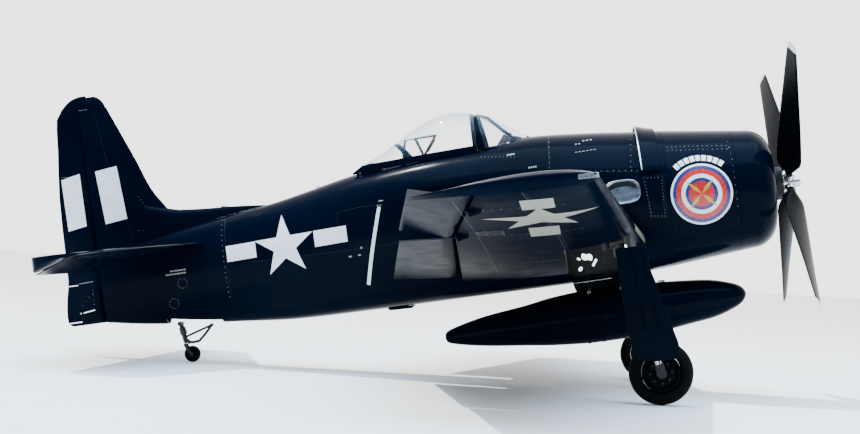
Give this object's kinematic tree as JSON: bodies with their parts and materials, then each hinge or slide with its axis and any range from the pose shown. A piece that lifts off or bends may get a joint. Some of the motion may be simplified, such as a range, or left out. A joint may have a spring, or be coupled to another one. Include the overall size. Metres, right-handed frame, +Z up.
{
  "type": "radio-controlled fighter plane",
  "caption": "Large radio-controlled naval fighter on its wheels, with a radial cowl, folding gear, sliding canopy, moving tail surfaces and a belly tank.",
  "frame": {"origin": "on the ground under the centre of the model's box", "axes": "+X towards the nose, +Y to port, +Z up, with the airframe pitched nose-up on its three wheels"},
  "size_m": [1.6878, 2.164, 0.7435],
  "materials": {
    "navy_paint": "gloss",
    "prop_black": "satin",
    "clear_glazing": "gloss",
    "bare_aluminium": "satin",
    "dark_casting": "satin",
    "exhaust_steel": "satin",
    "tyre_rubber": "matte",
    "cockpit_green": "matte",
    "glare_shield_brown": "matte",
    "plywood": "matte",
    "carbon_tube": "satin",
    "battery_wrap": "satin",
    "black_plastic": "satin"
  },
  "bodies": {
    "airframe": {"fuselage_shell": "navy_paint", "engine_cowl": "navy_paint", "cowl_nose_ring": "navy_paint", "dummy_engine": "dark_casting", "firewall": "plywood", "motor_mount": "bare_aluminium", "exhaust_panel_right": "exhaust_steel", "exhaust_panel_left": "exhaust_steel", "windshield_glass": "clear_glazing", "windshield_frame": "navy_paint", "cockpit_tub": "cockpit_green", "pilot_seat": "cockpit_green", "headrest_frame": "cockpit_green", "instrument_panel": "glare_shield_brown", "wing_spar_tube": "carbon_tube", "wing_right": "navy_paint", "wing_left": "navy_paint", "aileron_servo_right": "black_plastic", "aileron_servo_left": "black_plastic", "stabilizer": "navy_paint", "fin": "navy_paint", "drop_tank": "navy_paint", "tank_pylon": "navy_paint", "retract_unit_right": "dark_casting", "retract_unit_left": "dark_casting", "battery_pack": "battery_wrap", "speed_controller": "black_plastic", "servo_tray": "plywood", "rudder_servo": "black_plastic"},
    "propeller": {"prop_hub": "bare_aluminium", "prop_blade_1": "prop_black", "prop_blade_2": "prop_black", "prop_blade_3": "prop_black", "prop_blade_4": "prop_black", "motor_bell": "dark_casting"},
    "canopy": {"canopy_glass": "clear_glazing", "canopy_frame": "navy_paint"},
    "rudder": {"rudder": "navy_paint"},
    "rudder_tab": {"rudder_tab": "navy_paint"},
    "tail_leg": {"tail_leg": "dark_casting"},
    "tail_fork": {"tail_fork": "dark_casting"},
    "tail_wheel": {"tail_wheel": "tyre_rubber"},
    "cowl_flap_right": {"cowl_flap_right": "navy_paint"},
    "aileron_right": {"aileron_right": "navy_paint"},
    "flap_right": {"flap_right": "navy_paint"},
    "elevator_right": {"elevator_right": "navy_paint"},
    "gear_leg_right": {"gear_leg_right": "dark_casting", "gear_door_right": "navy_paint"},
    "gear_oleo_right": {"gear_oleo_right": "dark_casting"},
    "wheel_right": {"wheel_hub_right": "dark_casting", "tyre_right": "tyre_rubber"},
    "cowl_flap_left": {"cowl_flap_left": "navy_paint"},
    "aileron_left": {"aileron_left": "navy_paint"},
    "flap_left": {"flap_left": "navy_paint"},
    "elevator_left": {"elevator_left": "navy_paint"},
    "gear_leg_left": {"gear_leg_left": "dark_casting", "gear_door_left": "navy_paint"},
    "gear_oleo_left": {"gear_oleo_left": "dark_casting"},
    "wheel_left": {"wheel_hub_left": "dark_casting", "tyre_left": "tyre_rubber"}
  },
  "joints": [
    {"name": "propeller_spin", "type": "hinge", "parent": "airframe", "child": "propeller", "pos_m": [0.79679, 0, 0.46905], "axis": [0.9885, 0, 0.1509], "continuous": true},
    {"name": "canopy_slide", "type": "slide", "parent": "airframe", "child": "canopy", "axis": [-0.982, 0, -0.1888], "range_m": [0, 0.15]},
    {"name": "cowl_flap_right_hinge", "type": "hinge", "parent": "airframe", "child": "cowl_flap_right", "pos_m": [0.50119, -0.0925, 0.52883], "axis": [0.1175, -0.7826, -0.6113], "range_deg": [-12, 8]},
    {"name": "cowl_flap_left_hinge", "type": "hinge", "parent": "airframe", "child": "cowl_flap_left", "pos_m": [0.50119, 0.0925, 0.52883], "axis": [-0.1175, -0.7826, 0.6113], "range_deg": [-12, 8]},
    {"name": "aileron_right_hinge", "type": "hinge", "parent": "airframe", "child": "aileron_right", "pos_m": [0.11932, -0.641, 0.3111], "axis": [-0.1535, 0.9794, -0.1314], "range_deg": [-32, 8]},
    {"name": "aileron_left_hinge", "type": "hinge", "parent": "airframe", "child": "aileron_left", "pos_m": [0.11932, 0.641, 0.3111], "axis": [0.1535, 0.9794, 0.1314], "range_deg": [-8, 32]},
    {"name": "flap_right_hinge", "type": "hinge", "parent": "airframe", "child": "flap_right", "pos_m": [0.08491, -0.158, 0.24569], "axis": [0.0696, -0.9886, 0.1337], "range_deg": [0, 40]},
    {"name": "flap_left_hinge", "type": "hinge", "parent": "airframe", "child": "flap_left", "pos_m": [0.08491, 0.158, 0.24569], "axis": [-0.0696, -0.9886, -0.1337], "range_deg": [0, 40]},
    {"name": "elevator_right_hinge", "type": "hinge", "parent": "airframe", "child": "elevator_right", "pos_m": [-0.64686, -0.037, 0.23434], "axis": [-0.0038, 0.9998, 0.0199], "range_deg": [0, 50]},
    {"name": "elevator_left_hinge", "type": "hinge", "parent": "airframe", "child": "elevator_left", "pos_m": [-0.64686, 0.037, 0.23434], "axis": [0.0038, 0.9998, -0.0199], "range_deg": [0, 50]},
    {"name": "rudder_hinge", "type": "hinge", "parent": "airframe", "child": "rudder", "pos_m": [-0.74619, 0, 0.27431], "axis": [-0.1888, 0, 0.982], "range_deg": [-25, 25]},
    {"name": "rudder_tab_hinge", "type": "hinge", "parent": "rudder", "child": "rudder_tab", "pos_m": [-0.76199, 0, 0.11547], "axis": [-0.1888, 0, 0.982], "range_deg": [-15, 15]},
    {"name": "gear_retract_right", "type": "hinge", "parent": "airframe", "child": "gear_leg_right", "pos_m": [0.42769, -0.38, 0.31257], "axis": [0.9399, 0.1952, 0.28], "range_deg": [0, 80]},
    {"name": "gear_oleo_right_slide", "type": "slide", "parent": "gear_leg_right", "child": "gear_oleo_right", "axis": [-0.3684, 0, 0.9297], "range_m": [-0.012, 0.008], "stiffness_N_per_m": 6000, "springref_m": -0.0075},
    {"name": "wheel_right_spin", "type": "hinge", "parent": "gear_oleo_right", "child": "wheel_right", "pos_m": [0.52657, -0.352, 0.06305], "axis": [0, 1, 0], "continuous": true},
    {"name": "gear_retract_left", "type": "hinge", "parent": "airframe", "child": "gear_leg_left", "pos_m": [0.42769, 0.38, 0.31257], "axis": [-0.9399, 0.1952, -0.28], "range_deg": [0, 80]},
    {"name": "gear_oleo_left_slide", "type": "slide", "parent": "gear_leg_left", "child": "gear_oleo_left", "axis": [-0.3684, 0, 0.9297], "range_m": [-0.012, 0.008], "stiffness_N_per_m": 6000, "springref_m": -0.0075},
    {"name": "wheel_left_spin", "type": "hinge", "parent": "gear_oleo_left", "child": "wheel_left", "pos_m": [0.52657, 0.352, 0.06305], "axis": [0, 1, 0], "continuous": true},
    {"name": "tail_retract", "type": "hinge", "parent": "airframe", "child": "tail_leg", "pos_m": [-0.52737, 0, 0.0842], "axis": [0, -1, 0], "range_deg": [0, 95]},
    {"name": "tail_steer", "type": "hinge", "parent": "tail_leg", "child": "tail_fork", "pos_m": [-0.50985, 0, 0.04072], "axis": [-0.1888, 0, 0.982], "range_deg": [-25, 25]},
    {"name": "tail_wheel_spin", "type": "hinge", "parent": "tail_fork", "child": "tail_wheel", "pos_m": [-0.49617, 0, 0.0183], "axis": [0, 1, 0], "continuous": true}
  ],
  "couplings": [
    {"joint": "cowl_flap_left_hinge", "follows": "cowl_flap_right_hinge", "ratio": 1},
    {"joint": "aileron_left_hinge", "follows": "aileron_right_hinge", "ratio": -1},
    {"joint": "flap_left_hinge", "follows": "flap_right_hinge", "ratio": 1},
    {"joint": "elevator_left_hinge", "follows": "elevator_right_hinge", "ratio": 1},
    {"joint": "gear_retract_left", "follows": "gear_retract_right", "ratio": 1},
    {"joint": "tail_retract", "follows": "gear_retract_right", "ratio": 1.1875},
    {"joint": "tail_steer", "follows": "rudder_hinge", "ratio": 1}
  ]
}
